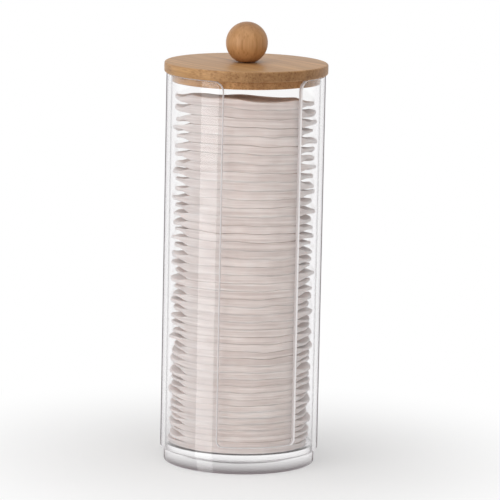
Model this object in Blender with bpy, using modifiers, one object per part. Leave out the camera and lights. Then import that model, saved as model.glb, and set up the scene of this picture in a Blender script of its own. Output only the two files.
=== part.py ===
"""Cotton pad holder: a clear slotted canister with a bamboo lid, holding a stack of round cotton pads.

Metres, +Z up. The origin is the middle of the underside of the foot, and the slot faces -Y.
"""

import math

import bmesh
import bpy
from mathutils import Vector

# Canister tube
TUBE_DIAMETER = 0.0680
TUBE_WALL = 0.0020
TUBE_LENGTH = 0.1620
TUBE_RIM_ROUND = 0.0004
TUBE_FOOT_ROUND = 0.0014

# Front slot, its width measured straight across the outside of the tube
SLOT_WIDTH = 0.0345
SLOT_SILL_HEIGHT = 0.0058
SLOT_CORNER_RADIUS = 0.0025
SLOT_FLARE_RADIUS = 0.0045

# Base, glued into the tube
FOOT_HEIGHT = 0.0060
FOOT_INSET = 0.0016
FOOT_ROUND = 0.0006
FLOOR_STEP_HEIGHT = 0.0024
GLUE_GAP = 0.0003

# Lid
LID_OVERHANG = 0.0010
LID_THICKNESS = 0.0045
LID_EDGE_ROUND = 0.0008
PLUG_DEPTH = 0.0035
PLUG_EDGE_ROUND = 0.0004
PLUG_CLEARANCE = 0.0004
SEAT_GAP = 0.0003

# Knob and the screw that holds it
KNOB_DIAMETER = 0.0180
KNOB_SEAT_DIAMETER = 0.0080
SCREW_LENGTH = 0.0150
SCREW_SHANK_DIAMETER = 0.0030
SCREW_HEAD_DIAMETER = 0.0058
SCREW_HEAD_RIM = 0.0003
SCREW_TIP_LENGTH = 0.0030
SCREW_CLEARANCE = 0.0003

# Cotton pads: the stack is divided into layers that get thinner towards the bottom
PAD_SIDE_GAP = 0.0027
PAD_FREE_HEIGHT = 0.0048
PAD_MEAN_PITCH = 0.00324
PAD_LAYER_GAP = 0.0003
PAD_EDGE_WIDTH = 0.0038
PAD_SIDE_WANDER = 0.0008
PAD_FRONT_WANDER = 0.0003
PAD_TOP_PITCH_SHARE = 1.17
PAD_BOTTOM_PITCH_SHARE = 0.75
PAD_SQUASH_POWER = 1.5
PAD_RIM_HEIGHT_SHARE = 0.40
PAD_BACK_TILT = math.radians(4.5)
PAD_SIDE_TILT = math.radians(2.5)
PAD_TILT_POWER = 2.0
PAD_WANDER_TURN = math.radians(137.5)

# Facets and tolerances
TUBE_STEPS = 72
KNOB_STEPS = 32
SCREW_STEPS = 20
PAD_STEPS = 22
SLOT_COLUMNS = 18
CORNER_STEPS = 4
KNOB_ARC_STEPS = 13
EDGE_STEPS = 3
CUT_OVERRUN = 0.0020
MERGE_DISTANCE = 0.00001

# Sizes that follow from the ones above
TUBE_RADIUS = TUBE_DIAMETER / 2
TUBE_BORE_RADIUS = TUBE_RADIUS - TUBE_WALL
TUBE_BOTTOM = FOOT_HEIGHT + GLUE_GAP
TUBE_RIM = TUBE_BOTTOM + TUBE_LENGTH
FLOOR_TOP = TUBE_BOTTOM + FLOOR_STEP_HEIGHT
SLOT_BOTTOM = TUBE_BOTTOM + SLOT_SILL_HEIGHT
LID_SEAT = TUBE_RIM + SEAT_GAP
LID_RADIUS = TUBE_RADIUS + LID_OVERHANG
PLUG_RADIUS = TUBE_BORE_RADIUS - PLUG_CLEARANCE
PLUG_BOTTOM = LID_SEAT - PLUG_DEPTH
KNOB_RADIUS = KNOB_DIAMETER / 2
KNOB_SEAT_RADIUS = KNOB_SEAT_DIAMETER / 2
KNOB_CENTRE_HEIGHT = math.sqrt(KNOB_RADIUS ** 2 - KNOB_SEAT_RADIUS ** 2)
SCREW_SHANK_RADIUS = SCREW_SHANK_DIAMETER / 2
SCREW_HEAD_RADIUS = SCREW_HEAD_DIAMETER / 2
SCREW_HEAD_CONE = SCREW_HEAD_RADIUS - SCREW_SHANK_RADIUS
SCREW_HOLE_RADIUS = SCREW_SHANK_RADIUS + SCREW_CLEARANCE
LID_STACK = PLUG_DEPTH + LID_THICKNESS + SEAT_GAP
KNOB_HOLE_DEPTH = SCREW_LENGTH - LID_STACK + SCREW_CLEARANCE
PAD_RADIUS = TUBE_BORE_RADIUS - PAD_SIDE_GAP


def clear_scene():
    """Remove every object that the file opened with."""
    for old_object in list(bpy.data.objects):
        bpy.data.objects.remove(old_object, do_unlink=True)


def make_collection(name):
    """Make a collection and link it to the scene."""
    collection = bpy.data.collections.new(name)
    bpy.context.scene.collection.children.link(collection)
    return collection


def make_material(name, colour, roughness, transmission=0.0, ior=1.45):
    """Make a Principled material of one colour."""
    material = bpy.data.materials.new(name)
    material.use_nodes = True
    shader = material.node_tree.nodes["Principled BSDF"]
    shader.inputs["Base Color"].default_value = (*colour, 1.0)
    shader.inputs["Roughness"].default_value = roughness
    shader.inputs["Metallic"].default_value = 0.0
    shader.inputs["Transmission Weight"].default_value = transmission
    shader.inputs["IOR"].default_value = ior
    return material


def make_object(name, mesh, collection, material, parent=None, location=(0, 0, 0)):
    """Make an object from a mesh, with its material, place and parent."""
    new_object = bpy.data.objects.new(name, mesh)
    collection.objects.link(new_object)
    if material:
        mesh.materials.append(material)
    new_object.parent = parent
    new_object.location = location
    return new_object


def make_empty(name, collection, location):
    """Make the empty that a moving group hangs on."""
    empty = bpy.data.objects.new(name, None)
    collection.objects.link(empty)
    empty.location = location
    return empty


def arc(centre_x, centre_z, radius, start, end, steps):
    """Points along an arc in the profile plane, from one angle to another."""
    points = []
    for step in range(steps + 1):
        angle = start + (end - start) * step / steps
        x = centre_x + radius * math.cos(angle)
        z = centre_z + radius * math.sin(angle)
        points.append((x, z))
    return points


def profile_mesh(name, points, closed):
    """An edge chain in the XZ plane, ready for a Screw modifier."""
    mesh = bpy.data.meshes.new(name)
    edges = [(index, index + 1) for index in range(len(points) - 1)]
    if closed:
        edges.append((len(points) - 1, 0))
    mesh.from_pydata([(x, 0, z) for x, z in points], edges, [])
    return mesh


def turned(name, points, steps, collection, material, parent=None, location=(0, 0, 0), closed=False):
    """Turn a profile about Z. It runs down the outer side, from top to bottom."""
    mesh = profile_mesh(name, points, closed)
    piece = make_object(name, mesh, collection, material, parent, location)
    screw = piece.modifiers.new("turn", "SCREW")
    screw.axis = "Z"
    screw.angle = math.tau
    screw.steps = steps
    screw.render_steps = steps
    screw.use_merge_vertices = True
    screw.merge_threshold = MERGE_DISTANCE
    screw.use_smooth_shade = True
    return piece


def slot_rows():
    """Height and half width of the slot, from its sill up past the rim, on the unrolled tube."""
    half_width = TUBE_RADIUS * math.asin(SLOT_WIDTH / 2 / TUBE_RADIUS)
    rows = []
    for step in range(CORNER_STEPS + 1):
        angle = math.pi / 2 * step / CORNER_STEPS
        height = SLOT_BOTTOM + SLOT_CORNER_RADIUS * (1 - math.cos(angle))
        rows.append((height, half_width - SLOT_CORNER_RADIUS * (1 - math.sin(angle))))
    for step in range(CORNER_STEPS + 1):
        angle = math.pi / 2 * step / CORNER_STEPS
        height = TUBE_RIM - SLOT_FLARE_RADIUS * (1 - math.sin(angle))
        rows.append((height, half_width + SLOT_FLARE_RADIUS * (1 - math.cos(angle))))
    rows.append((TUBE_RIM + CUT_OVERRUN, rows[-1][1]))
    return rows


def make_slot_cutter(collection):
    """A flat grid in the slot's outline, wrapped round the middle of the wall and thickened through it."""
    rows = slot_rows()
    middle_radius = TUBE_RADIUS - TUBE_WALL / 2
    sheet = bmesh.new()
    bmesh.ops.create_grid(sheet, x_segments=SLOT_COLUMNS, y_segments=len(rows) - 1, size=1)
    for vertex in sheet.verts:
        across = vertex.co.x
        height, half_width = rows[round((vertex.co.y + 1) / 2 * (len(rows) - 1))]
        angle = across * half_width / TUBE_RADIUS
        vertex.co = Vector((middle_radius * math.sin(angle), -middle_radius * math.cos(angle), height))
    mesh = bpy.data.meshes.new("slot_cutter")
    sheet.to_mesh(mesh)
    sheet.free()
    cutter = make_object("slot_cutter", mesh, collection, None)
    thicken = cutter.modifiers.new("through the wall", "SOLIDIFY")
    thicken.thickness = TUBE_WALL + 2 * CUT_OVERRUN
    thicken.offset = 0
    cutter.hide_render = True
    cutter.display_type = "WIRE"
    return cutter


def make_canister_tube(parts, cutters, material):
    """The clear tube, its outer lower corner well rounded, with the slot cut in its front."""
    rim = TUBE_RIM_ROUND
    foot = TUBE_FOOT_ROUND
    points = arc(TUBE_RADIUS - rim, TUBE_RIM - rim, rim, math.pi / 2, 0, EDGE_STEPS)
    points += arc(TUBE_RADIUS - foot, TUBE_BOTTOM + foot, foot, 0, -math.pi / 2, CORNER_STEPS)
    points.append((TUBE_BORE_RADIUS, TUBE_BOTTOM))
    points += arc(TUBE_BORE_RADIUS + rim, TUBE_RIM - rim, rim, math.pi, math.pi / 2, EDGE_STEPS)
    tube = turned("canister_tube", points, TUBE_STEPS, parts, material, closed=True)
    cut = tube.modifiers.new("slot", "BOOLEAN")
    cut.operation = "DIFFERENCE"
    cut.solver = "EXACT"
    cut.object = make_slot_cutter(cutters)
    return tube


def make_base(parts, material):
    """The thick clear base: a floor step inside the tube, on a foot a little narrower than the tube."""
    step_radius = TUBE_BORE_RADIUS - GLUE_GAP
    foot_radius = TUBE_RADIUS - FOOT_INSET
    edge = FOOT_ROUND
    points = [(0, FLOOR_TOP)]
    points.append((step_radius, FLOOR_TOP))
    points.append((step_radius, FOOT_HEIGHT))
    points.append((foot_radius, FOOT_HEIGHT))
    points += arc(foot_radius - edge, edge, edge, 0, -math.pi / 2, EDGE_STEPS)
    points.append((0, 0))
    return turned("base", points, TUBE_STEPS, parts, material)


def make_lid(parts, material, parent):
    """The bamboo disc and its plug, turned from one board, with a countersunk hole for the knob's screw."""
    edge = LID_EDGE_ROUND
    plug_edge = PLUG_EDGE_ROUND
    sink_radius = SCREW_HEAD_RADIUS + SCREW_CLEARANCE
    sink_height = SCREW_HEAD_RIM + SCREW_CLEARANCE
    cone_height = sink_radius - SCREW_HOLE_RADIUS
    points = [(SCREW_HOLE_RADIUS, LID_THICKNESS)]
    points += arc(LID_RADIUS - edge, LID_THICKNESS - edge, edge, math.pi / 2, 0, EDGE_STEPS)
    points += arc(LID_RADIUS - edge, edge, edge, 0, -math.pi / 2, EDGE_STEPS)
    points.append((PLUG_RADIUS, 0))
    points += arc(PLUG_RADIUS - plug_edge, plug_edge - PLUG_DEPTH, plug_edge, 0, -math.pi / 2, EDGE_STEPS)
    points.append((sink_radius, -PLUG_DEPTH))
    points.append((sink_radius, sink_height - PLUG_DEPTH))
    points.append((SCREW_HOLE_RADIUS, sink_height + cone_height - PLUG_DEPTH))
    return turned("lid", points, TUBE_STEPS, parts, material, parent, closed=True)


def make_knob(parts, material, parent):
    """The bamboo ball, with a small flat where it sits on the lid and a blind hole for its screw."""
    seat_angle = -math.acos(KNOB_SEAT_RADIUS / KNOB_RADIUS)
    points = arc(0, KNOB_CENTRE_HEIGHT, KNOB_RADIUS, math.pi / 2, seat_angle, KNOB_ARC_STEPS)
    points[0] = (0, points[0][1])
    points.append((SCREW_HOLE_RADIUS, 0))
    points.append((SCREW_HOLE_RADIUS, KNOB_HOLE_DEPTH))
    points.append((0, KNOB_HOLE_DEPTH))
    location = (0, 0, LID_THICKNESS + SEAT_GAP)
    return turned("knob", points, KNOB_STEPS, parts, material, parent, location)


def make_knob_screw(parts, material, parent):
    """The countersunk wood screw, its head flush with the underside of the plug."""
    points = [(0, SCREW_LENGTH)]
    points.append((SCREW_SHANK_RADIUS, SCREW_LENGTH - SCREW_TIP_LENGTH))
    points.append((SCREW_SHANK_RADIUS, SCREW_HEAD_RIM + SCREW_HEAD_CONE))
    points.append((SCREW_HEAD_RADIUS, SCREW_HEAD_RIM))
    points.append((SCREW_HEAD_RADIUS, 0))
    points.append((0, 0))
    location = (0, 0, -PLUG_DEPTH)
    return turned("knob_screw", points, SCREW_STEPS, parts, material, parent, location)


def pad_pitches(stack_height):
    """Layer heights from the bottom pad to the top one, which add up to the stack's height."""
    count = max(2, round(stack_height / PAD_MEAN_PITCH))
    shares = []
    for index in range(count):
        depth = (1 - index / (count - 1)) ** PAD_SQUASH_POWER
        shares.append(PAD_TOP_PITCH_SHARE + (PAD_BOTTOM_PITCH_SHARE - PAD_TOP_PITCH_SHARE) * depth)
    return [stack_height * share / sum(shares) for share in shares]


def make_cotton_pads(parts, material, parent):
    """The stack of pads, each a little off the axis, which leans back more and more towards its top."""
    top_tilt = math.acos(math.cos(PAD_BACK_TILT) * math.cos(PAD_SIDE_TILT))
    tilt_rise = PAD_RADIUS * math.sin(top_tilt)
    stack_bottom = FLOOR_TOP + PAD_LAYER_GAP / 2
    stack_height = PLUG_BOTTOM - PAD_FREE_HEIGHT - tilt_rise - stack_bottom
    pitches = pad_pitches(stack_height)
    height = stack_bottom
    for number, pitch in enumerate(pitches, start=1):
        half = (pitch - PAD_LAYER_GAP) / 2
        points = [(0, half), (PAD_RADIUS - PAD_EDGE_WIDTH, half), (PAD_RADIUS, half * PAD_RIM_HEIGHT_SHARE)]
        points += [(x, -z) for x, z in reversed(points)]
        name = f"cotton_pad_{number:02d}"
        wander = number * PAD_WANDER_TURN
        across = PAD_SIDE_WANDER * math.cos(wander)
        along = PAD_FRONT_WANDER * math.sin(wander)
        location = (across, along, height + pitch / 2)
        pad = turned(name, points, PAD_STEPS, parts, material, parent, location)
        lean = (number / len(pitches)) ** PAD_TILT_POWER
        pad.rotation_euler = (-PAD_BACK_TILT * lean, PAD_SIDE_TILT * lean, 0)
        height += pitch


def build():
    """Make the whole holder."""
    clear_scene()
    parts = make_collection("cotton_pad_holder")
    cutters = make_collection("cutters")
    clear_plastic = make_material("clear plastic", (0.97, 0.98, 0.98), 0.02, 1.0, 1.49)
    lid_bamboo = make_material("lid bamboo", (0.50, 0.30, 0.16), 0.45)
    knob_bamboo = make_material("knob bamboo", (0.47, 0.24, 0.11), 0.42)
    steel = make_material("screw steel", (0.62, 0.60, 0.56), 0.35)
    steel.node_tree.nodes["Principled BSDF"].inputs["Metallic"].default_value = 1.0
    cotton = make_material("cotton", (0.86, 0.83, 0.81), 0.95)
    make_canister_tube(parts, cutters, clear_plastic)
    make_base(parts, clear_plastic)
    lid_axis = make_empty("lid_axis", parts, (0, 0, LID_SEAT))
    make_lid(parts, lid_bamboo, lid_axis)
    make_knob(parts, knob_bamboo, lid_axis)
    make_knob_screw(parts, steel, lid_axis)
    pad_stack = make_empty("pad_stack", parts, (0, 0, 0))
    make_cotton_pads(parts, cotton, pad_stack)


build()
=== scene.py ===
"""Looks of the cotton pad holder: clear plastic canister, bamboo lid and knob, and soft cotton pads.

Metres, +Z up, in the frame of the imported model. The slot faces -Y.
"""

import math
import random

import bmesh
import bpy
import numpy as np
from mathutils import Matrix, Vector


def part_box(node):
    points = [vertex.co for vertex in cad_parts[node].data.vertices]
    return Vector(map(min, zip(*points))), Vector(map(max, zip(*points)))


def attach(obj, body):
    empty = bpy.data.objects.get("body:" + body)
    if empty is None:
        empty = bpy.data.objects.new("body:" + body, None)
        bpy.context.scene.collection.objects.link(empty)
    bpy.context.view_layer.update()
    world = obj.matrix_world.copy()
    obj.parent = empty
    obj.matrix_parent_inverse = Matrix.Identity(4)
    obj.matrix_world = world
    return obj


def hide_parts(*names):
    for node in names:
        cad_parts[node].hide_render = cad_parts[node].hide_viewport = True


MM = 0.001

# Camera, at the photograph's place and angle
CAMERA_AZIMUTH = math.radians(-14.0)
CAMERA_DISTANCE = 1.6040
CAMERA_HEIGHT = 0.3643
CAMERA_TILT = math.radians(9.6385)
CAMERA_YAW = math.radians(0.1130)
CAMERA_ROLL = math.radians(1.20)
CAMERA_LENS = 272.4
CAMERA_SENSOR = 36.0
CAMERA_CLIP_START = 0.05
CAMERA_CLIP_END = 50.0

# How often light may bounce: enough for walls behind each other and for the pale cotton
DIFFUSE_BOUNCES = 12
MAX_BOUNCES = 20

# Floor and surroundings
FLOOR_RADIUS = 4.0
FLOOR_STEPS = 96
FLOOR_DROP = 0.02 * MM
FLOOR_COLOUR = (0.97, 0.965, 0.96)
SHADOW_REACH = 0.03
SHADOW_END = 0.17
SHADOW_WHITE = 0.3
WORLD_SEEN = 1.0
WORLD_LIGHT = 0.39
WORLD_SLANT = 0.52
WHITE = (1.0, 1.0, 1.0)
BLACK = (0.0, 0.0, 0.0)

# Lamps: azimuth and elevation in degrees, distance, width, height and power
LAMPS = {
    "key": (-66.5, 4, 1.6, 0.78, 1.9, 6.6),
    "window": (-66.5, 4, 1.59, 0.775, 1.89, 7.0),
    "side": (-36, 10, 1.8, 1.2, 1.4, 3.2),
    "overhead": (-20, 72, 1.5, 2.0, 2.0, 11.0),
    "fill": (2, 3, 1.8, 0.9, 1.4, 5.0),
}
LAMPS_WITHOUT_GLOSS = ("side", "fill")
LAMPS_OF_GLOSS_ALONE = ("window",)
LAMP_AIM_HEIGHT = 0.095

# Clear plastic: its tints from where it faces the eye (0) to where it is seen edge on (1). Towards the
# edges they are painted darker, to a lavender grey: painted shade for the dark surroundings the edges
# refract.
PLASTIC_IOR = 1.49
PLASTIC_SHADE = (0.95, 0.95, 0.955)
OUTER_EDGE_SHADE = [
    (0.45, WHITE),
    (0.53, (0.88, 0.86, 0.875)),
    (0.68, (0.85, 0.83, 0.845)),
    (0.82, (0.72, 0.685, 0.71)),
    (0.91, (0.26, 0.225, 0.24)),
]
INNER_EDGE_SHADE = [
    (0.50, WHITE),
    (0.75, (0.95, 0.94, 0.945)),
    (0.95, (0.88, 0.865, 0.87)),
]
BASE_EDGE_SHADE = [
    (0.10, (0.95, 0.94, 0.945)),
    (0.60, (0.90, 0.885, 0.89)),
    (0.84, (0.66, 0.62, 0.63)),
    (0.95, (0.36, 0.31, 0.325)),
]

# Cut faces: their tint at the outside and at the bore, and the share of light from within. On the slot's
# faces the tint at the bore is darker: painted shade.
CUT_TINT = (0.93, 0.915, 0.915)
RIM_GLOW = 0.5
SLOT_GLOW = 0.45
SLOT_BORE_SHADE = (0.66, 0.61, 0.60)

# Bamboo: the turn that lays its fibres along X, its pale and its deep colour, the tint of its bundles
# of fibres, the width of its strips and its roughness
LID_BAMBOO = (
    (0.0, 0.0, math.radians(68.8)),
    (0.60, 0.345, 0.150),
    (0.36, 0.175, 0.062),
    (0.52, 0.42, 0.32),
    6.5 * MM,
    0.36,
)
KNOB_BAMBOO = (
    (0.0, math.radians(90), 0.0),
    (0.65, 0.355, 0.155),
    (0.51, 0.260, 0.104),
    (0.74, 0.66, 0.57),
    40 * MM,
    0.32,
)
STRIP_SHIFT = 0.3
STRIP_TINTS = [(0.0, (0.90, 0.89, 0.87)), (1.0, (1.04, 1.03, 1.03))]
BUNDLE_SHARE = 0.55
FIBRE_END_SHARE = 0.90
FIBRE_END_TINT = (0.60, 0.545, 0.51)
BAMBOO_IOR = 1.44
# Painted light: the factor that paints the lid's plug paler, standing in for light bounced up onto it
PLUG_PAINTED_LIGHT = (1.24, 1.20, 1.14)

# Cotton: its tones, and how deep each colour of light goes into it
COTTON_TONES = [(0.40, (0.69, 0.595, 0.56)), (0.60, (0.865, 0.780, 0.745))]
COTTON_LIGHT_DEPTH = 1.1 * MM
COTTON_LIGHT_SHARES = (1.0, 0.93, 0.90)

# Screw steel
STEEL_COLOUR = (0.62, 0.61, 0.58)

# Canister tube: edge rounds and the slot's outline, as the solid has them
TUBE_WALL = 2.0 * MM
TUBE_EDGE_ROUND = 0.5 * MM
TUBE_FOOT_ROUND = 1.4 * MM
SLOT_WIDTH = 34.5 * MM
SLOT_SILL_HEIGHT = 5.8 * MM
SLOT_CORNER_RADIUS = 2.5 * MM
SLOT_FLARE_RADIUS = 4.5 * MM
TUBE_COLUMNS = 240
SILL_COLUMNS = 40
SLOT_ARC_STEPS = 10
TUBE_STRAIGHT_ROWS = 6
ROUND_SEGMENTS = 4
TUBE_EDGE_ANGLE = math.radians(60)

# Which of the tube's materials a face takes, after the outside's own
RIM_FACE = 1
INNER_FACE = 2
SLOT_FACE = 3

# Base
BASE_STEPS = 192
BASE_FLOOR_ROUND = 0.25 * MM
FOOT_TOP_ROUND = 0.25 * MM
BASE_ARC_STEPS = 3
FOOT_ROUND = 0.6 * MM
FOOT_ARC_STEPS = 5
BASE_RIM_HEIGHT = 6.0 * MM
FLOOR_STEP_INSET = 2.3 * MM

# Lid and knob
LID_STEPS = 192
LID_EDGE_ROUND = 0.8 * MM
LID_ARC_STEPS = 6
PLUG_EDGE_ROUND = 0.4 * MM
PLUG_ARC_STEPS = 4
PLUG_DEPTH = 3.5 * MM
PLUG_INSET = 3.4 * MM
KNOB_STEPS = 96
KNOB_ARC_STEPS = 48
KNOB_SEAT_RADIUS = 4.0 * MM
SCREW_HOLE_RADIUS = 1.8 * MM
SCREW_END_CLEARANCE = 0.3 * MM
SCREW_SINK_RADIUS = 3.2 * MM
SCREW_SINK_HEIGHT = 0.6 * MM

# Screw
SCREW_STEPS = 48
SCREW_HEAD_RINGS = 22
SCREW_SHARP_ANGLE = 30
SCREW_RIM_HEIGHT = 0.3 * MM
SCREW_SHANK_RADIUS = 1.5 * MM
SCREW_CORE_RADIUS = 1.05 * MM
SCREW_PITCH = 1.25 * MM
SCREW_THREAD_SLOPE = 3.4
SCREW_TIP_LENGTH = 3.0 * MM
SCREW_ROW_HEIGHT = 0.16 * MM
RECESS_REACH = 1.7 * MM
RECESS_WIDTH = 0.42 * MM
RECESS_SIDE = RECESS_WIDTH / 3
RECESS_END_SLOPE = 2.2
RECESS_DEPTH = 1.1 * MM

# Cotton pads: how many, how finely they are divided, and their rims
PAD_COUNT = 46
PAD_COLUMNS = 160
PAD_FLAT_RINGS = 6
PAD_EDGE_RINGS = 10
PAD_TIP_RINGS = 7
PAD_SPREAD = 0.55 * MM
PAD_RADIUS_CHANGE = 0.6 * MM
PAD_RIM_RIPPLE = 0.18 * MM
PAD_SWELL = 0.146 * MM
PAD_PRESSED_AZIMUTH = math.radians(-14.0)
PAD_PRESSED_SPAN = math.radians(47.0)
PAD_OPEN_SPAN = math.radians(64.0)
PAD_BACK_SPAN = math.radians(122.0)
PAD_BACK_FADE = 0.4
PAD_BACK_SHUT = 0.45
PAD_PRESSED_CHANGE = 0.25
PAD_PRESSED_RIPPLE = 0.5
PAD_LAYER_DEPTH = 0.11 * MM
PAD_CORNER_CALM = 4.0
PAD_FLAT_UNDER = 0.15
PAD_FULLEST = 0.998
PAD_FINE_SWING = 0.5
HARMONIC_STRENGTHS = (0.4, 1.0)
PAD_SEED = 11

# The groove beside a pad's rim, where the pads are pressed together and where they stand open: its
# width and the change in it, the rim's share of the pad's thickness and the change in that, how far
# the rim bends up or down as a share of the room it has, its depth as a share of its height, how
# square its section is, and how fast the groove closes inwards
PAD_PRESSED = {
    "width": 0.30 * MM,
    "width change": 0.20 * MM,
    "tip": 0.97,
    "tip change": 0.02,
    "bend": 0.5,
    "depth": 0.14,
    "squareness": 4.0,
    "closing": 0.8,
}
PAD_OPEN = {
    "width": 7.0 * MM,
    "width change": 1.6 * MM,
    "tip": 0.40,
    "tip change": 0.12,
    "bend": 0.7,
    "depth": 0.9,
    "squareness": 2.3,
    "closing": 2.2,
}

# A pad draws one of these factors for its pressed groove. It scales the measures named below and what
# the rim lacks of the full thickness
PAD_CREASES = (0.1, 0.2, 0.3, 0.5, 0.8, 1.6)
PAD_CREASED = ("width", "width change", "tip change", "depth")

# Gentle waves through the stack, which grow from the first to the second height above its bottom
PAD_WAVE = 0.28 * MM
PAD_WAVE_LENGTH = 31.0 * MM
PAD_WAVE_STRETCH = 1.7
PAD_WAVE_HEIGHT = 43.0 * MM
PAD_WAVE_SWAY = 0.8
PAD_WAVE_PHASE = 0.6
PAD_WAVE_START = 4 * MM
PAD_WAVE_FULL = 30 * MM

# A second wave across the first: its height, closeness and climb against the first's, and its phase
SECOND_WAVE_SHARE = 0.5
SECOND_WAVE_ACROSS = 1.9
SECOND_WAVE_UP = 1.4
SECOND_WAVE_PHASE = 1.0

# The rumpled top: its rise and slope, a dent right of the middle, raised sides, and how deep they reach
TOP_RISE = 1.1 * MM
TOP_SLOPE = 0.04
TOP_DENT = 1.0 * MM
TOP_DENT_PLACE = 12 * MM
TOP_DENT_WIDTH = 7.5 * MM
TOP_SIDE_RISE = 0.8 * MM
TOP_SIDE_START = 14 * MM
TOP_SIDE_FULL = 27 * MM
PAD_RELIEF_DEPTH = 7.0 * MM

# The lean of the upper half, and the droop of the backs, which grows above the stack's bottom and ends
# near its top
PAD_LEAN = 0.020
PAD_DROOP = 0.075
PAD_DROOP_AHEAD = 14 * MM
PAD_DROOP_EASE = 8 * MM
PAD_DROOP_START = 20 * MM
PAD_DROOP_FULL = 85 * MM
PAD_DROOP_TOP_START = 34 * MM
PAD_DROOP_TOP_END = 2 * MM
PAD_DROOP_TOP_LOSS = 0.9


def new_object(name, mesh, material):
    """Link a new object that holds the mesh and give it the material."""
    made = bpy.data.objects.new(name, mesh)
    bpy.context.scene.collection.objects.link(made)
    mesh.materials.append(material)
    return made


def replace_node(piece, node, body):
    """The piece stands for a node of the frame and moves with its body."""
    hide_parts(node)
    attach(piece, body)


def arc(centre_r, centre_z, radius, start, end, steps):
    """Points (radius, height) along an arc of a turned profile, its angles in degrees."""
    points = []
    for step in range(steps + 1):
        angle = math.radians(start + (end - start) * step / steps)
        points.append((centre_r + radius * math.cos(angle), centre_z + radius * math.sin(angle)))
    return points


def turned_mesh(name, profile, steps, closed=False):
    """Turn a profile about Z. Its points on the axis become one vertex each."""
    vertices = []
    rings = []
    for radius, height in profile:
        if radius == 0:
            rings.append([len(vertices)])
            vertices.append((0.0, 0.0, height))
            continue
        ring = []
        for step in range(steps):
            angle = math.tau * step / steps
            ring.append(len(vertices))
            vertices.append((radius * math.cos(angle), radius * math.sin(angle), height))
        rings.append(ring)
    pairs = list(zip(rings, rings[1:]))
    if closed:
        pairs.append((rings[-1], rings[0]))
    faces = []
    for upper, lower in pairs:
        for step in range(steps):
            following = (step + 1) % steps
            if len(upper) == 1:
                faces.append((upper[0], lower[step], lower[following]))
            elif len(lower) == 1:
                faces.append((upper[following], upper[step], lower[0]))
            else:
                faces.append((upper[following], upper[step], lower[step], lower[following]))
    mesh = bpy.data.meshes.new(name)
    mesh.from_pydata(vertices, [], faces)
    mesh.validate()
    return mesh


def shade(mesh, sharp_angle=40):
    """Smooth shading, with the edges steeper than the angle kept sharp."""
    mesh.shade_smooth()
    mesh.set_sharp_from_angle(angle=math.radians(sharp_angle))


class Nodes:
    """A short way to write a material's node tree."""

    def __init__(self, tree):
        self.tree = tree
        tree.nodes.clear()

    def add(self, kind, **settings):
        """Add a node. Settings named as its own fields are set on it, and the rest on its sockets."""
        node = self.tree.nodes.new(kind)
        for name, value in settings.items():
            if hasattr(node, name):
                setattr(node, name, value)
            else:
                self.set(node, name.replace("_", " "), value)
        return node

    def set(self, node, name, value):
        """Set a socket to a value, or link another node's socket to it."""
        socket = node.inputs[int(name)] if name.isdigit() else node.inputs[name]
        if isinstance(value, bpy.types.NodeSocket):
            self.tree.links.new(value, socket)
        else:
            socket.default_value = value

    def math(self, operation, first, second=None, third=None, clamp=False):
        """A Math node's result."""
        node = self.tree.nodes.new("ShaderNodeMath")
        node.operation = operation
        node.use_clamp = clamp
        for index, value in enumerate((first, second, third)):
            if value is not None:
                self.set(node, str(index), value)
        return node.outputs[0]

    def ramp(self, factor, stops, smooth=False):
        """A Color Ramp's result. Stops are (position, colour)."""
        node = self.tree.nodes.new("ShaderNodeValToRGB")
        ramp = node.color_ramp
        ramp.interpolation = "EASE" if smooth else "LINEAR"
        while len(ramp.elements) < len(stops):
            ramp.elements.new(1.0)
        for element, (position, colour) in zip(ramp.elements, stops):
            element.position = position
            element.color = (*colour, 1.0)
        self.set(node, "Fac", factor)
        return node.outputs["Color"]

    def blend(self, kind, factor, first, second):
        """A Mix Color node's result."""
        node = self.tree.nodes.new("ShaderNodeMix")
        node.data_type = "RGBA"
        node.blend_type = kind
        self.set(node, "0", factor)
        for index, value in ((6, first), (7, second)):
            if isinstance(value, bpy.types.NodeSocket):
                self.tree.links.new(value, node.inputs[index])
            else:
                node.inputs[index].default_value = (*value, 1.0)
        return node.outputs[2]

    def noise(self, vector, scale=1.0, detail=2.0, roughness=0.5):
        """A Noise Texture's height."""
        node = self.tree.nodes.new("ShaderNodeTexNoise")
        self.set(node, "Vector", vector)
        self.set(node, "Scale", scale)
        self.set(node, "Detail", detail)
        self.set(node, "Roughness", roughness)
        return node.outputs["Fac"]

    def mapped(self, vector, scale, turn=(0.0, 0.0, 0.0)):
        """Coordinates turned and then scaled."""
        turned = self.tree.nodes.new("ShaderNodeVectorRotate")
        turned.rotation_type = "EULER_XYZ"
        self.set(turned, "Vector", vector)
        turned.inputs["Rotation"].default_value = turn
        scaled = self.tree.nodes.new("ShaderNodeVectorMath")
        scaled.operation = "MULTIPLY"
        self.set(scaled, "0", turned.outputs[0])
        scaled.inputs[1].default_value = scale
        return scaled.outputs[0]

    def bump(self, height, strength, distance):
        """A Bump node's normal."""
        node = self.tree.nodes.new("ShaderNodeBump")
        node.inputs["Strength"].default_value = strength
        node.inputs["Distance"].default_value = distance
        self.set(node, "Height", height)
        return node.outputs[0]

    def output(self, surface, kind="ShaderNodeOutputMaterial"):
        """The tree's output."""
        node = self.tree.nodes.new(kind)
        self.tree.links.new(surface, node.inputs["Surface"])


def new_material(name):
    """An empty material and its nodes."""
    material = bpy.data.materials.new(name)
    material.use_nodes = True
    return material, Nodes(material.node_tree)


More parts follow.
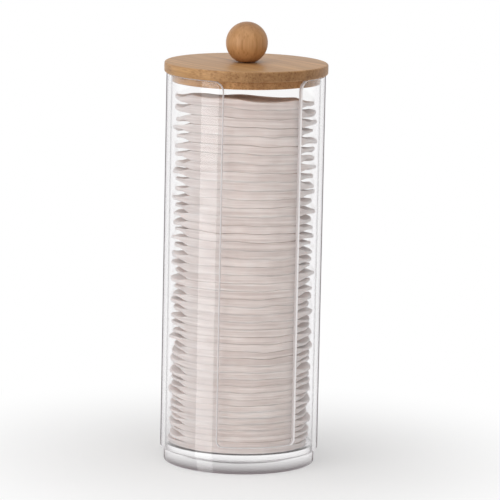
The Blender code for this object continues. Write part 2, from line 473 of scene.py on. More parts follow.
def clear_plastic(name, edge_shade):
    """Clear acrylic: crisp refraction, a faint waviness, and edges painted darker to a lavender grey as
    painted shade.
    """
    material, n = new_material(name)
    place = n.add("ShaderNodeTexCoord").outputs["Object"]
    facing = n.add("ShaderNodeLayerWeight", Blend=0.5).outputs["Facing"]
    tint_with_painted_shade = n.ramp(facing, edge_shade)
    ripples = n.noise(n.mapped(place, (30.0, 30.0, 6.0)), detail=1.0)
    glass = n.add("ShaderNodeBsdfPrincipled", Base_Color=tint_with_painted_shade, Roughness=0.01, IOR=PLASTIC_IOR)
    glass.inputs["Transmission Weight"].default_value = 1.0
    n.set(glass, "Normal", n.bump(ripples, strength=0.12, distance=0.4 * MM))
    # Seen edge on, the surface turns into a dark tinted see-through: painted shade at the silhouettes
    edge = n.add("ShaderNodeBsdfTransparent", Color=tint_with_painted_shade)
    painted_edge_share = n.ramp(facing, [(0.78, BLACK), (0.92, WHITE)])
    surface = n.add("ShaderNodeMixShader", Fac=painted_edge_share)
    n.set(surface, "1", glass.outputs[0])
    n.set(surface, "2", edge.outputs[0])
    path = n.add("ShaderNodeLightPath")
    passing = n.math("MAXIMUM", path.outputs["Is Shadow Ray"], path.outputs["Is Diffuse Ray"])
    through = n.add("ShaderNodeBsdfTransparent")
    through.inputs["Color"].default_value = (*PLASTIC_SHADE, 1.0)
    whole = n.add("ShaderNodeMixShader", Fac=passing)
    n.set(whole, "1", surface.outputs[0])
    n.set(whole, "2", through.outputs[0])
    n.output(whole.outputs[0])
    return material


def cut_edge(name, glow_share, bore_shade):
    """A cut face of the same plastic: lightly frosted, lit from within, and painted darker towards the
    bore as painted shade.
    """
    material, n = new_material(name)
    place = n.add("ShaderNodeTexCoord").outputs["Object"]
    marks = n.noise(n.mapped(place, (900.0, 900.0, 60.0)), detail=3.0)
    level = n.add("ShaderNodeVectorMath", operation="MULTIPLY")
    n.set(level, "0", place)
    level.inputs[1].default_value = (1.0, 1.0, 0.0)
    from_axis = n.add("ShaderNodeVectorMath", operation="LENGTH")
    n.set(from_axis, "0", level.outputs[0])
    low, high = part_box("canister_tube")
    bore = (high.x - low.x) / 2 - TUBE_WALL
    outward = n.math("DIVIDE", n.math("SUBTRACT", from_axis.outputs["Value"], bore), TUBE_WALL)
    # Tint from the bore to the outside; a darker tint at the bore is painted shade
    tint_with_painted_shade = n.ramp(outward, [(0.42, bore_shade), (0.66, CUT_TINT)])
    frosted = n.add("ShaderNodeBsdfPrincipled", IOR=PLASTIC_IOR)
    n.set(frosted, "Base Color", tint_with_painted_shade)
    n.set(frosted, "Roughness", n.math("MULTIPLY_ADD", marks, 0.25, 0.3))
    n.set(frosted, "Normal", n.bump(marks, strength=0.2, distance=0.05 * MM))
    glow = n.add("ShaderNodeBsdfTranslucent")
    n.set(glow, "Color", tint_with_painted_shade)
    surface = n.add("ShaderNodeMixShader", Fac=glow_share)
    n.set(surface, "1", frosted.outputs[0])
    n.set(surface, "2", glow.outputs[0])
    n.output(surface.outputs[0])
    return material


def bamboo(name, turn, pale, deep, bundle_tint, strip_width, roughness, painted_light_below=-1.0):
    """Bamboo whose fibres run along local X once turned: streaks along them, dots across their ends.

    Below the local height painted_light_below the wood is painted paler: painted light for the light
    bounced up onto the plug under the lid's overhang.
    The noises' scales are per metre, the first along the fibres and the others across them.
    """
    material, n = new_material(name)
    place = n.add("ShaderNodeTexCoord").outputs["Object"]
    along = n.mapped(place, (1.0, 1.0, 1.0), turn)
    split = n.add("ShaderNodeSeparateXYZ", Vector=along)

    strip = n.math("FLOOR", n.math("DIVIDE", split.outputs["Y"], strip_width))
    strip_tone = n.add("ShaderNodeTexWhiteNoise", noise_dimensions="1D", W=strip).outputs["Value"]
    shift = n.add("ShaderNodeCombineXYZ", X=n.math("MULTIPLY", strip_tone, STRIP_SHIFT))
    moved = n.add("ShaderNodeVectorMath", operation="ADD")
    n.set(moved, "0", along)
    n.set(moved, "1", shift.outputs[0])
    fibre_place = moved.outputs[0]

    broad = n.noise(n.mapped(fibre_place, (9.0, 160.0, 160.0)), detail=3.0, roughness=0.55)
    fine = n.noise(n.mapped(fibre_place, (28.0, 1100.0, 1100.0)), detail=3.0, roughness=0.6)
    cells = n.add("ShaderNodeTexVoronoi", feature="F1")
    n.set(cells, "Vector", n.mapped(fibre_place, (14.0, 1000.0, 1000.0)))
    cells.inputs["Scale"].default_value = 1.0
    cells.inputs["Randomness"].default_value = 0.9
    bundles = n.ramp(cells.outputs["Distance"], [(0.18, WHITE), (0.42, BLACK)], smooth=True)

    streaks = n.noise(n.mapped(fibre_place, (13.0, 520.0, 520.0)))
    tone = n.math("MULTIPLY_ADD", fine, 0.40, n.math("MULTIPLY", broad, 0.25))
    tone = n.math("MULTIPLY_ADD", streaks, 0.35, tone)
    colour = n.ramp(tone, [(0.36, deep), (0.60, pale)])
    colour = n.blend("MULTIPLY", n.math("MULTIPLY", bundles, BUNDLE_SHARE), colour, bundle_tint)
    colour = n.blend("MULTIPLY", 1.0, colour, n.ramp(strip_tone, STRIP_TINTS))

    normal = n.add("ShaderNodeTexCoord").outputs["Normal"]
    ends = n.add("ShaderNodeSeparateXYZ", Vector=n.mapped(normal, (1.0, 1.0, 1.0), turn))
    end_share = n.math("POWER", n.math("ABSOLUTE", ends.outputs["X"]), 2.0)
    end_share = n.math("MULTIPLY", end_share, FIBRE_END_SHARE, clamp=True)
    colour = n.blend("MULTIPLY", end_share, colour, FIBRE_END_TINT)

    # Painted light: below that height the plug is painted paler
    height = n.add("ShaderNodeSeparateXYZ", Vector=place).outputs["Z"]
    colour = n.blend("MULTIPLY", n.math("LESS_THAN", height, painted_light_below), colour, PLUG_PAINTED_LIGHT)

    relief = n.math("MULTIPLY_ADD", bundles, -0.5, fine)
    wood = n.add("ShaderNodeBsdfPrincipled", Base_Color=colour, IOR=BAMBOO_IOR)
    wood.inputs["Specular IOR Level"].default_value = 0.38
    n.set(wood, "Roughness", n.math("MULTIPLY_ADD", fine, 0.16, roughness))
    n.set(wood, "Normal", n.bump(relief, strength=0.35, distance=0.05 * MM))
    n.output(wood.outputs[0])
    return material


def cotton():
    """Soft cotton wool: matt, with light that passes into it, fine level layers and fluff.

    Each pad moves the noises by a number of its own, so that no two pads are alike.
    """
    material, n = new_material("cotton")
    local = n.add("ShaderNodeTexCoord").outputs["Object"]
    shift = n.add("ShaderNodeCombineXYZ", Z=n.add("ShaderNodeObjectInfo").outputs["Random"])
    moved = n.add("ShaderNodeVectorMath", operation="ADD")
    n.set(moved, "0", local)
    n.set(moved, "1", shift.outputs[0])
    place = moved.outputs[0]
    layers = n.noise(n.mapped(place, (24.0, 24.0, 1150.0)), detail=3.0, roughness=0.6)
    threads = n.noise(n.mapped(place, (110.0, 110.0, 3000.0)), roughness=0.6)
    fluff = n.noise(place, scale=1500.0, detail=3.0, roughness=0.65)
    clouds = n.noise(place, scale=90.0)
    tone = n.math("MULTIPLY_ADD", layers, 0.55, n.math("MULTIPLY", clouds, 0.25))
    tone = n.math("MULTIPLY_ADD", threads, 0.2, tone)
    colour = n.ramp(tone, COTTON_TONES)
    relief = n.math("MULTIPLY_ADD", fluff, 0.6, n.math("MULTIPLY", threads, 0.8))
    wool = n.add("ShaderNodeBsdfPrincipled", Base_Color=colour, Roughness=1.0)
    wool.inputs["Specular IOR Level"].default_value = 0.1
    wool.inputs["Subsurface Weight"].default_value = 1.0
    wool.inputs["Subsurface Radius"].default_value = COTTON_LIGHT_SHARES
    wool.inputs["Subsurface Scale"].default_value = COTTON_LIGHT_DEPTH
    wool.inputs["Sheen Weight"].default_value = 0.2
    wool.inputs["Sheen Roughness"].default_value = 0.6
    n.set(wool, "Normal", n.bump(relief, strength=0.35, distance=0.12 * MM))
    n.output(wool.outputs[0])
    return material


def screw_steel():
    """Zinc plated steel with turning marks."""
    material, n = new_material("screw steel")
    place = n.add("ShaderNodeTexCoord").outputs["Object"]
    marks = n.noise(n.mapped(place, (2500.0, 2500.0, 9000.0)))
    metal = n.add("ShaderNodeBsdfPrincipled", Base_Color=(*STEEL_COLOUR, 1.0), Metallic=1.0)
    n.set(metal, "Roughness", n.math("MULTIPLY_ADD", marks, 0.2, 0.25))
    n.set(metal, "Normal", n.bump(marks, strength=0.15, distance=0.02 * MM))
    n.output(metal.outputs[0])
    return material


def slot_rows(bottom, rim, radius):
    """Height and half angle of the slot, row by row from the tube's bottom to its rim."""
    half_width = radius * math.asin(SLOT_WIDTH / 2 / radius)
    slot_bottom = bottom + SLOT_SILL_HEIGHT
    rows = [(bottom, half_width - SLOT_CORNER_RADIUS)]
    for step in range(SLOT_ARC_STEPS + 1):
        angle = math.pi / 2 * step / SLOT_ARC_STEPS
        height = slot_bottom + SLOT_CORNER_RADIUS * (1 - math.cos(angle))
        rows.append((height, half_width - SLOT_CORNER_RADIUS * (1 - math.sin(angle))))
    low = rows[-1][0]
    high = rim - SLOT_FLARE_RADIUS
    for step in range(1, TUBE_STRAIGHT_ROWS):
        rows.append((low + (high - low) * step / TUBE_STRAIGHT_ROWS, half_width))
    for step in range(SLOT_ARC_STEPS + 1):
        angle = math.pi / 2 * step / SLOT_ARC_STEPS
        height = rim - SLOT_FLARE_RADIUS * (1 - math.sin(angle))
        rows.append((height, half_width + SLOT_FLARE_RADIUS * (1 - math.cos(angle))))
    return [(height, width / radius) for height, width in rows]


def make_tube(material, rim_material, inner_material, slot_material):
    """The clear tube as one even shell of quads, with rounded edges at its rim, slot and foot."""
    low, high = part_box("canister_tube")
    radius = (high.x - low.x) / 2
    rows = slot_rows(low.z, high.z, radius)
    shell = bmesh.new()
    weights = shell.edges.layers.float.new("bevel_weight_edge")

    def wall(angle, height):
        """The outer and the inner vertex at an angle from -Y."""
        across, towards = math.sin(angle), -math.cos(angle)
        inner = radius - TUBE_WALL
        return (
            shell.verts.new((radius * across, radius * towards, height)),
            shell.verts.new((inner * across, inner * towards, height)),
        )

    round_part = []
    for height, half_angle in rows:
        sweep = math.tau - 2 * half_angle
        round_part.append([
            wall(half_angle + sweep * column / TUBE_COLUMNS, height)
            for column in range(TUBE_COLUMNS + 1)
        ])
    sill = []
    for row in (0, 1):
        height, half_angle = rows[row]
        middle = [
            wall(-half_angle + 2 * half_angle * column / SILL_COLUMNS, height)
            for column in range(1, SILL_COLUMNS)
        ]
        sill.append([round_part[row][-1], *middle, round_part[row][0]])

    def skin(lower, upper):
        """The outer and inner faces between two rows of wall vertices."""
        for index in range(len(lower) - 1):
            a, b, c, d = lower[index], lower[index + 1], upper[index + 1], upper[index]
            shell.faces.new((a[0], b[0], c[0], d[0]))
            shell.faces.new((d[1], c[1], b[1], a[1])).material_index = INNER_FACE

    def cap(row, kind=0):
        """The faces that close the wall's thickness along a row."""
        for (outer, inner), (next_outer, next_inner) in zip(row, row[1:]):
            shell.faces.new((outer, next_outer, next_inner, inner)).material_index = kind

    for lower, upper in zip(round_part, round_part[1:]):
        skin(lower, upper)
    skin(*sill)
    edge_loop = [row[-1] for row in reversed(round_part[1:])]
    cap(round_part[-1], RIM_FACE)
    cap(edge_loop, SLOT_FACE)
    cap(sill[1], SLOT_FACE)
    cap([row[0] for row in round_part[1:]], SLOT_FACE)
    bottom = round_part[0] + sill[0][1:]
    cap(list(reversed(bottom)))
    bmesh.ops.recalc_face_normals(shell, faces=shell.faces)

    foot_ring = {vertex for pair in bottom for vertex in pair[:1]}
    for edge in shell.edges:
        if edge.calc_face_angle(0) < TUBE_EDGE_ANGLE:
            continue
        at_foot = all(vertex in foot_ring for vertex in edge.verts)
        edge[weights] = 1.0 if at_foot else TUBE_EDGE_ROUND / TUBE_FOOT_ROUND
    mesh = bpy.data.meshes.new("clear_tube")
    shell.to_mesh(mesh)
    shell.free()
    mesh.shade_smooth()
    tube = new_object("clear_tube", mesh, material)
    for extra in (rim_material, inner_material, slot_material):
        mesh.materials.append(extra)
    rounded = tube.modifiers.new("rounded edges", "BEVEL")
    rounded.limit_method = "WEIGHT"
    rounded.width = TUBE_FOOT_ROUND
    rounded.segments = ROUND_SEGMENTS
    rounded.material = RIM_FACE
    normals = tube.modifiers.new("even normals", "WEIGHTED_NORMAL")
    normals.keep_sharp = True
    replace_node(tube, "canister_tube", "canister")


def make_base(material):
    """The clear base: its floor step inside the tube, the ledge under the tube, and the foot."""
    low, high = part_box("base")
    foot_radius = (high.x - low.x) / 2
    step_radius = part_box("canister_tube")[1].x - FLOOR_STEP_INSET
    ledge = low.z + BASE_RIM_HEIGHT
    step_round, top_round = BASE_FLOOR_ROUND, FOOT_TOP_ROUND
    profile = [(0, high.z)]
    profile += arc(step_radius - step_round, high.z - step_round, step_round, 90, 0, BASE_ARC_STEPS)
    profile.append((step_radius, ledge))
    profile += arc(foot_radius - top_round, ledge - top_round, top_round, 90, 0, BASE_ARC_STEPS)
    profile += arc(foot_radius - FOOT_ROUND, low.z + FOOT_ROUND, FOOT_ROUND, 0, -90, FOOT_ARC_STEPS)
    profile.append((0, low.z))
    mesh = turned_mesh("clear_base", profile, BASE_STEPS)
    shade(mesh)
    base = new_object("clear_base", mesh, material)
    replace_node(base, "base", "canister")


def make_lid(material):
    """The bamboo disc with its plug and countersunk hole."""
    low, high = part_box("lid")
    radius = (high.x - low.x) / 2
    seat = low.z + PLUG_DEPTH
    plug_radius = radius - PLUG_INSET
    edge, plug_edge = LID_EDGE_ROUND, PLUG_EDGE_ROUND
    sink_slope = SCREW_SINK_RADIUS - SCREW_HOLE_RADIUS
    profile = [(SCREW_HOLE_RADIUS, high.z)]
    profile += arc(radius - edge, high.z - edge, edge, 90, 0, LID_ARC_STEPS)
    profile += arc(radius - edge, seat + edge, edge, 0, -90, LID_ARC_STEPS)
    profile.append((plug_radius, seat))
    profile += arc(plug_radius - plug_edge, low.z + plug_edge, plug_edge, 0, -90, PLUG_ARC_STEPS)
    profile.append((SCREW_SINK_RADIUS, low.z))
    profile.append((SCREW_SINK_RADIUS, low.z + SCREW_SINK_HEIGHT))
    profile.append((SCREW_HOLE_RADIUS, low.z + SCREW_SINK_HEIGHT + sink_slope))
    mesh = turned_mesh("bamboo_lid", profile, LID_STEPS, closed=True)
    shade(mesh)
    lid = new_object("bamboo_lid", mesh, material)
    replace_node(lid, "lid", "lid")


def make_knob(material):
    """The bamboo ball on its small flat seat, with its blind hole."""
    low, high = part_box("knob")
    radius = (high.x - low.x) / 2
    centre = high.z - radius
    hole_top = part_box("knob_screw")[1].z + SCREW_END_CLEARANCE
    seat_angle = -math.degrees(math.acos(KNOB_SEAT_RADIUS / radius))
    profile = [(0, high.z)]
    profile += arc(0, centre, radius, 90, seat_angle, KNOB_ARC_STEPS)[1:]
    profile.append((SCREW_HOLE_RADIUS, low.z))
    profile.append((SCREW_HOLE_RADIUS, hole_top))
    profile.append((0, hole_top))
    mesh = turned_mesh("bamboo_knob", profile, KNOB_STEPS)
    shade(mesh)
    mesh.transform(Matrix.Translation((0, 0, -centre)))
    knob = new_object("bamboo_knob", mesh, material)
    knob.location = (0, 0, centre)
    replace_node(knob, "knob", "lid")


def recess_depth(x, y):
    """Depth of the cross recess in the screw's head."""
    reach = max(abs(x), abs(y))
    across = min(abs(x), abs(y))
    side = max(0.0, min(1.0, (RECESS_WIDTH - across) / RECESS_SIDE))
    end = max(0.0, min(1.0, (RECESS_REACH - reach) / RECESS_REACH))
    return RECESS_DEPTH * side * min(1.0, RECESS_END_SLOPE * end)


def make_screw(material):
    """The countersunk screw: cross recess, cone and a helical thread that runs out at the point."""
    low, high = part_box("knob_screw")
    head_radius = (high.x - low.x) / 2
    cone_top = low.z + SCREW_RIM_HEIGHT + head_radius - SCREW_SHANK_RADIUS
    rings = []
    for number in range(1, SCREW_HEAD_RINGS + 1):
        radius = head_radius * number / SCREW_HEAD_RINGS
        ring = []
        for step in range(SCREW_STEPS):
            angle = math.tau * step / SCREW_STEPS
            depth = recess_depth(radius * math.cos(angle), radius * math.sin(angle))
            ring.append((radius, depth + low.z))
        rings.append(ring)
    rings.append([(head_radius, low.z + SCREW_RIM_HEIGHT)] * SCREW_STEPS)
    rings.append([(SCREW_SHANK_RADIUS, cone_top)] * SCREW_STEPS)
    rows = int((high.z - cone_top) / SCREW_ROW_HEIGHT)
    for row in range(1, rows):
        height = cone_top + (high.z - cone_top) * row / rows
        taper = min(1.0, (high.z - height) / SCREW_TIP_LENGTH)
        ring = []
        for step in range(SCREW_STEPS):
            turn = ((height - cone_top) / SCREW_PITCH + step / SCREW_STEPS) % 1.0
            crest = max(0.0, 1 - abs(turn - 0.5) * SCREW_THREAD_SLOPE)
            radius = SCREW_CORE_RADIUS + (SCREW_SHANK_RADIUS - SCREW_CORE_RADIUS) * crest
            ring.append((radius * taper, height))
        rings.append(ring)
    vertices = [(0, 0, low.z + RECESS_DEPTH)]
    for ring in rings:
        for step, (radius, height) in enumerate(ring):
            angle = math.tau * step / SCREW_STEPS
            vertices.append((radius * math.cos(angle), radius * math.sin(angle), height))
    vertices.append((0, 0, high.z))
    faces = []
    for step in range(SCREW_STEPS):
        following = (step + 1) % SCREW_STEPS
        faces.append((0, 1 + following, 1 + step))
        for row in range(len(rings) - 1):
            a, b = 1 + row * SCREW_STEPS, 1 + (row + 1) * SCREW_STEPS
            faces.append((a + step, a + following, b + following, b + step))
        last = 1 + (len(rings) - 1) * SCREW_STEPS
        faces.append((last + step, last + following, len(vertices) - 1))
    mesh = bpy.data.meshes.new("steel_screw")
    mesh.from_pydata(vertices, [], faces)
    shade(mesh, SCREW_SHARP_ANGLE)
    screw = new_object("steel_screw", mesh, material)
    replace_node(screw, "knob_screw", "lid")


def waves(rng, harmonics, columns):
    """A smooth random curve round a pad, from -1 to 1, made of the given numbers of waves round it."""
    angles = np.linspace(0, math.tau, columns, endpoint=False)
    curve = np.zeros(columns)
    for harmonic in harmonics:
        strength = rng.uniform(*HARMONIC_STRENGTHS) / math.sqrt(harmonic)
        curve += strength * np.sin(harmonic * angles + rng.uniform(0, math.tau))
    return curve / np.abs(curve).max()


def pad_seat(node):
    """Centre, axes, half thickness and radius of a pad's solid, read from its points."""
    points = np.array([vertex.co for vertex in node.data.vertices], float)
    centre = (points.max(0) + points.min(0)) / 2
    offsets = points - centre
    up = np.linalg.eigh(offsets.T @ offsets)[1][:, 0]
    up = up if up[2] > 0 else -up
    heights = offsets @ up
    across = offsets - np.outer(heights, up)
    return centre, Vector(up), np.abs(heights).max(), np.linalg.norm(across, axis=1).max()


def smooth_step(value, low, high):
    """0 below low, 1 above high and a smooth rise between."""
    share = np.clip((value - low) / (high - low), 0.0, 1.0)
    return share * share * (3 - 2 * share)


def pad_vertices(rng, half, radius, centre, lowest):
    """A pad's rings of points from the middle of its top over its rim to the middle of its underside.

    The lowest pad lies flat on the base, so that its underside is full out to its rim.
    """
    columns = PAD_COLUMNS
    angles = np.linspace(0, math.tau, columns, endpoint=False)
    pressed_angle = PAD_PRESSED_AZIMUTH - math.pi / 2
    away = np.abs((angles - pressed_angle + math.pi) % math.tau - math.pi)
    at_back = smooth_step(away, PAD_BACK_SPAN, PAD_BACK_SPAN + PAD_BACK_FADE)
    opened = smooth_step(away, PAD_PRESSED_SPAN, PAD_OPEN_SPAN)
    opened *= 1 - at_back * (PAD_BACK_SHUT + PAD_BACK_SHUT * waves(rng, range(1, 5), columns))

    crease = rng.choice(PAD_CREASES)
    pressed = dict(PAD_PRESSED)
    for name in PAD_CREASED:
        pressed[name] *= crease
    pressed["tip"] = 1 - (1 - pressed["tip"]) * crease

    def between(name):
        """A measure of the rim, from its pressed to its open value."""
        return pressed[name] + (PAD_OPEN[name] - pressed[name]) * opened

    change = PAD_PRESSED_CHANGE + (1 - PAD_PRESSED_CHANGE) * opened
    ripple = PAD_PRESSED_RIPPLE + (1 - PAD_PRESSED_RIPPLE) * opened
    rim = radius + PAD_SPREAD + PAD_RADIUS_CHANGE * waves(rng, range(1, 8), columns) * change
    rim -= (centre[0] * np.cos(angles) + centre[1] * np.sin(angles)) * (1 - opened)
    rim += PAD_RIM_RIPPLE * waves(rng, range(10, 34), columns) * ripple
    width = between("width") + between("width change") * waves(rng, range(1, 9), columns)
    fullness = between("tip") + between("tip change") * waves(rng, range(2, 12), columns)
    tip = half * np.minimum(fullness, PAD_FULLEST)
    swing = waves(rng, range(1, 5), columns)
    swing += PAD_FINE_SWING * waves(rng, range(5, 14), columns)
    bend = (half - tip) * between("bend") * np.clip(swing, -1, 1)
    depth = tip * between("depth")
    power = 2 / between("squareness")
    flat = [ring / PAD_FLAT_RINGS for ring in range(1, PAD_FLAT_RINGS)]
    edge = [ring / PAD_EDGE_RINGS for ring in range(PAD_EDGE_RINGS + 1)]
    turn = [math.pi / 2 * ring / PAD_TIP_RINGS for ring in range(1, PAD_TIP_RINGS + 1)]
    upper = []
    for share in flat:
        upper.append(((rim - width - depth) * share, half * np.ones(columns), np.zeros(columns)))
    for share in edge:
        inner = 1 - share
        thickness = tip + (half - tip) * inner ** between("closing")
        upper.append((rim - depth - width * inner, thickness, bend * share ** 2))
    for angle in turn:
        reach = rim - depth * (1 - math.sin(angle) ** power)
        upper.append((reach, tip * max(math.cos(angle), 0.0) ** power, bend))
    rings = []
    for side in (1, -1):
        chosen = upper if side == 1 else list(reversed(upper))[1:]
        for reach, thickness, lift in chosen:
            if lowest and side == -1:
                thickness = half - (half - thickness) * PAD_FLAT_UNDER
                lift = 0.0
            calm = np.clip(PAD_CORNER_CALM * (1 - thickness / half), 0.0, 1.0)
            calm += (1 - calm) * opened
            layered = reach + PAD_LAYER_DEPTH * calm * waves(rng, range(1, 22), columns)
            rings.append(np.stack([
                layered * np.cos(angles), layered * np.sin(angles), side * thickness + lift], 1))
    return rings


def settled(points, stack_low, stack_high):
    """Points of the stack as the pads have settled: gentle waves, drooping backs and a rumpled top."""
    x, y, z = points[:, 0], points[:, 1], points[:, 2]
    loose = smooth_step(z, stack_low + PAD_WAVE_START, stack_low + PAD_WAVE_FULL)
    across = math.tau / PAD_WAVE_LENGTH
    along = math.tau / (PAD_WAVE_STRETCH * PAD_WAVE_LENGTH)
    up = math.tau / PAD_WAVE_HEIGHT
    wave = np.sin(across * x + PAD_WAVE_SWAY * np.sin(up * z))
    wave *= np.sin(along * y + up * z + PAD_WAVE_PHASE)
    second = SECOND_WAVE_ACROSS * across * x - SECOND_WAVE_UP * up * z + SECOND_WAVE_PHASE
    wave += SECOND_WAVE_SHARE * np.sin(second)
    right = x * math.cos(PAD_PRESSED_AZIMUTH) + y * math.sin(PAD_PRESSED_AZIMUTH)
    back = -x * math.sin(PAD_PRESSED_AZIMUTH) + y * math.cos(PAD_PRESSED_AZIMUTH)
    dent = np.exp(-((right - TOP_DENT_PLACE) / TOP_DENT_WIDTH) ** 2)
    rumple = TOP_RISE + TOP_SLOPE * back - TOP_DENT * dent
    for side in (right, -right):
        rumple += TOP_SIDE_RISE * smooth_step(side, TOP_SIDE_START, TOP_SIDE_FULL)
    lean = -PAD_LEAN * back * smooth_step(z, 0.5 * (stack_low + stack_high), stack_high)
    behind = np.maximum(back + PAD_DROOP_AHEAD, 0.0)
    drooping = smooth_step(z, stack_low + PAD_DROOP_START, stack_low + PAD_DROOP_FULL)
    level = smooth_step(z, stack_high - PAD_DROOP_TOP_START, stack_high - PAD_DROOP_TOP_END)
    drooping *= 1 - PAD_DROOP_TOP_LOSS * level
    lean -= PAD_DROOP * drooping * behind ** 2 / (behind + PAD_DROOP_EASE)
    near_top = np.exp(np.minimum(z - stack_high, 0.0) / PAD_RELIEF_DEPTH)
    moved = points.copy()
    moved[:, 2] += PAD_WAVE * loose * wave + near_top * rumple + lean
    return moved


def make_pad(number, material, stack_low, stack_high):
    """One cotton pad in the place of its solid."""
    name = f"cotton_pad_{number:02d}"
    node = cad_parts[name]
    rng = random.Random(PAD_SEED * 1000 + number)
    centre, up, half, radius = pad_seat(node)
    half += PAD_SWELL
    rings = pad_vertices(rng, half, radius, centre, number == 1)
    columns = PAD_COLUMNS
    points = np.concatenate([[(0, 0, half)], *rings, [(0, 0, -half)]])
    tilt = np.array(Vector((0, 0, 1)).rotation_difference(up).to_matrix())
    placed = settled(points @ tilt.T + centre, stack_low, stack_high)
    vertices = ((placed - centre) @ tilt).tolist()
    last = len(vertices) - 1
    faces = []
    for step in range(columns):
        following = (step + 1) % columns
        faces.append((0, 1 + step, 1 + following))
        for ring in range(len(rings) - 1):
            a, b = 1 + ring * columns, 1 + (ring + 1) * columns
            faces.append((a + step, b + step, b + following, a + following))
        end = 1 + (len(rings) - 1) * columns
        faces.append((end + following, end + step, last))
    mesh = bpy.data.meshes.new(f"soft_pad_{number:02d}")
    mesh.from_pydata(vertices, [], faces)
    mesh.shade_smooth()
    pad = new_object(f"soft_pad_{number:02d}", mesh, material)
    pad.matrix_world = Matrix.Translation(centre) @ Matrix(tilt.tolist()).to_4x4()
    replace_node(pad, name, "pad_stack")


def make_camera():
    """The camera, where the photograph was taken from."""
    data = bpy.data.cameras.new("camera")
    data.lens = CAMERA_LENS
    data.sensor_width = CAMERA_SENSOR
    data.clip_start = CAMERA_CLIP_START
    data.clip_end = CAMERA_CLIP_END
    camera = bpy.data.objects.new("camera", data)
    bpy.context.scene.collection.objects.link(camera)
    place = Matrix.Translation((
        CAMERA_DISTANCE * math.sin(CAMERA_AZIMUTH),
        -CAMERA_DISTANCE * math.cos(CAMERA_AZIMUTH),
        CAMERA_HEIGHT,
    ))
    heading = Matrix.Rotation(CAMERA_AZIMUTH - CAMERA_YAW, 4, "Z")
    tilt = Matrix.Rotation(math.pi / 2 - CAMERA_TILT, 4, "X")
    roll = Matrix.Rotation(CAMERA_ROLL, 4, "Z")
    camera.matrix_world = place @ heading @ tilt @ roll
    bpy.context.scene.camera = camera


def make_lamp(name, azimuth, elevation, distance, width, height, power):
    """A soft rectangular lamp that faces the middle of the holder."""
    data = bpy.data.lights.new(name, "AREA")
    data.shape = "RECTANGLE"
    data.size = width
    data.size_y = height
    data.energy = power
    lamp = bpy.data.objects.new(name, data)
    bpy.context.scene.collection.objects.link(lamp)
    azimuth, elevation = math.radians(azimuth), math.radians(elevation)
    away = Vector((
        math.sin(azimuth) * math.cos(elevation),
        -math.cos(azimuth) * math.cos(elevation),
        math.sin(elevation),
    ))
    lamp.location = Vector((0, 0, LAMP_AIM_HEIGHT)) + away * distance
    lamp.rotation_euler = away.to_track_quat("Z", "Y").to_euler()
    lamp.visible_camera = False
    lamp.visible_transmission = False
    lamp.visible_glossy = name not in LAMPS_WITHOUT_GLOSS
    lamp.visible_diffuse = name not in LAMPS_OF_GLOSS_ALONE


def make_lamps():
    """A tall key lamp at the left, its gloss, a broad lamp overhead, and weak ones left and in front."""
    for name, measures in LAMPS.items():
        make_lamp(name, *measures)


def make_world():
    """White where the camera, gloss and glass see it, and a soft light that comes more from the left."""
    world = bpy.data.worlds.new("studio")
    bpy.context.scene.world = world
    world.use_nodes = True
    n = Nodes(world.node_tree)
    path = n.add("ShaderNodeLightPath")
    leftward = n.add("ShaderNodeVectorMath", operation="DOT_PRODUCT")
    n.set(leftward, "0", n.add("ShaderNodeTexCoord").outputs["Generated"])
    leftward.inputs[1].default_value = (-math.cos(CAMERA_AZIMUTH), -math.sin(CAMERA_AZIMUTH), 0.0)
    seen = n.math("MAXIMUM", path.outputs["Is Camera Ray"], path.outputs["Is Transmission Ray"])
    seen = n.math("MAXIMUM", seen, path.outputs["Is Glossy Ray"])
    light = n.math("MULTIPLY_ADD", leftward.outputs["Value"], WORLD_SLANT * WORLD_LIGHT, WORLD_LIGHT)
    level = n.math("MULTIPLY_ADD", seen, n.math("SUBTRACT", WORLD_SEEN, light), light)
    sky = n.add("ShaderNodeBackground", Strength=level)
    sky.inputs["Color"].default_value = (*WHITE, 1.0)
    n.output(sky.outputs[0], "ShaderNodeOutputWorld")


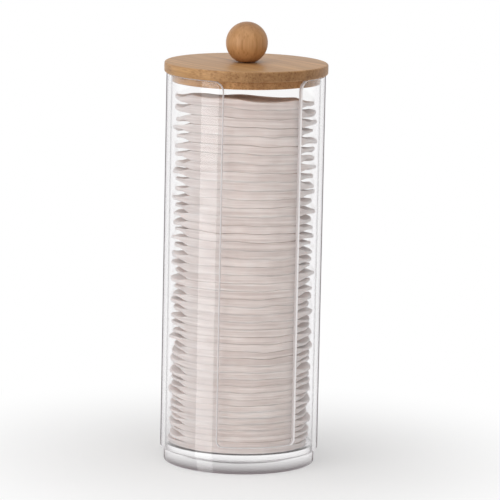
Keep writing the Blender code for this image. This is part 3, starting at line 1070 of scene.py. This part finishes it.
def make_floor():
    """A pale round floor that keeps the holder's soft shadow and turns to plain white away from it.

    From below it is clear, so that the holder's underside can be seen.
    """
    sheet = bmesh.new()
    bmesh.ops.create_circle(sheet, cap_ends=True, segments=FLOOR_STEPS, radius=FLOOR_RADIUS)
    mesh = bpy.data.meshes.new("floor")
    sheet.to_mesh(mesh)
    sheet.free()
    material, n = new_material("pale floor")
    place = n.add("ShaderNodeTexCoord").outputs["Object"]
    distance = n.add("ShaderNodeVectorMath", operation="LENGTH")
    n.set(distance, "0", place)
    white_share = n.add("ShaderNodeMapRange", interpolation_type="SMOOTHSTEP")
    n.set(white_share, "Value", distance.outputs["Value"])
    n.set(white_share, "From Min", SHADOW_REACH)
    n.set(white_share, "From Max", SHADOW_END)
    n.set(white_share, "To Min", SHADOW_WHITE)
    path = n.add("ShaderNodeLightPath")
    seen = n.math("MAXIMUM", path.outputs["Is Camera Ray"], path.outputs["Is Transmission Ray"])
    seen = n.math("MAXIMUM", seen, path.outputs["Is Glossy Ray"])
    white = n.add("ShaderNodeEmission", Strength=1.0)
    white.inputs["Color"].default_value = (*WHITE, 1.0)
    paper = n.add("ShaderNodeBsdfDiffuse")
    paper.inputs["Color"].default_value = (*FLOOR_COLOUR, 1.0)
    surface = n.add("ShaderNodeMixShader", Fac=n.math("MULTIPLY", seen, white_share.outputs[0]))
    n.set(surface, "1", paper.outputs[0])
    n.set(surface, "2", white.outputs[0])
    under = n.add("ShaderNodeNewGeometry").outputs["Backfacing"]
    whole = n.add("ShaderNodeMixShader", Fac=under)
    n.set(whole, "1", surface.outputs[0])
    n.set(whole, "2", n.add("ShaderNodeBsdfTransparent").outputs[0])
    n.output(whole.outputs[0])
    floor = new_object("floor", mesh, material)
    floor.location = (0, 0, -FLOOR_DROP)
    floor.visible_glossy = False


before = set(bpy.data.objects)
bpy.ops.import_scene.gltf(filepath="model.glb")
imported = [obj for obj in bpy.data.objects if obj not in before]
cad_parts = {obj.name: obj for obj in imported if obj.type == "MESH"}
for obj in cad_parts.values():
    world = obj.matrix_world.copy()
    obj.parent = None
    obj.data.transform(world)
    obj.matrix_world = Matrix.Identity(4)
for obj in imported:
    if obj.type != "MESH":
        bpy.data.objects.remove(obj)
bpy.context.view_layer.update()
bpy.context.scene.view_settings.view_transform = "Standard"
bpy.context.scene.cycles.diffuse_bounces = DIFFUSE_BOUNCES
bpy.context.scene.cycles.max_bounces = MAX_BOUNCES
make_camera()
make_world()
make_lamps()
make_floor()

outer_plastic = clear_plastic("clear plastic", OUTER_EDGE_SHADE)
inner_plastic = clear_plastic("clear plastic inside", INNER_EDGE_SHADE)
base_plastic = clear_plastic("clear plastic base", BASE_EDGE_SHADE)
rim_edge = cut_edge("rim edge", RIM_GLOW, CUT_TINT)
slot_edge = cut_edge("slot edge", SLOT_GLOW, SLOT_BORE_SHADE)
make_tube(outer_plastic, rim_edge, inner_plastic, slot_edge)
make_base(base_plastic)
make_lid(bamboo("lid bamboo", *LID_BAMBOO, painted_light_below=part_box("lid")[0].z + PLUG_DEPTH))
make_knob(bamboo("knob bamboo", *KNOB_BAMBOO))
make_screw(screw_steel())
soft_cotton = cotton()
stack_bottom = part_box("cotton_pad_01")[0].z
stack_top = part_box(f"cotton_pad_{PAD_COUNT:02d}")[1].z
for pad_number in range(1, PAD_COUNT + 1):
    make_pad(pad_number, soft_cotton, stack_bottom, stack_top)
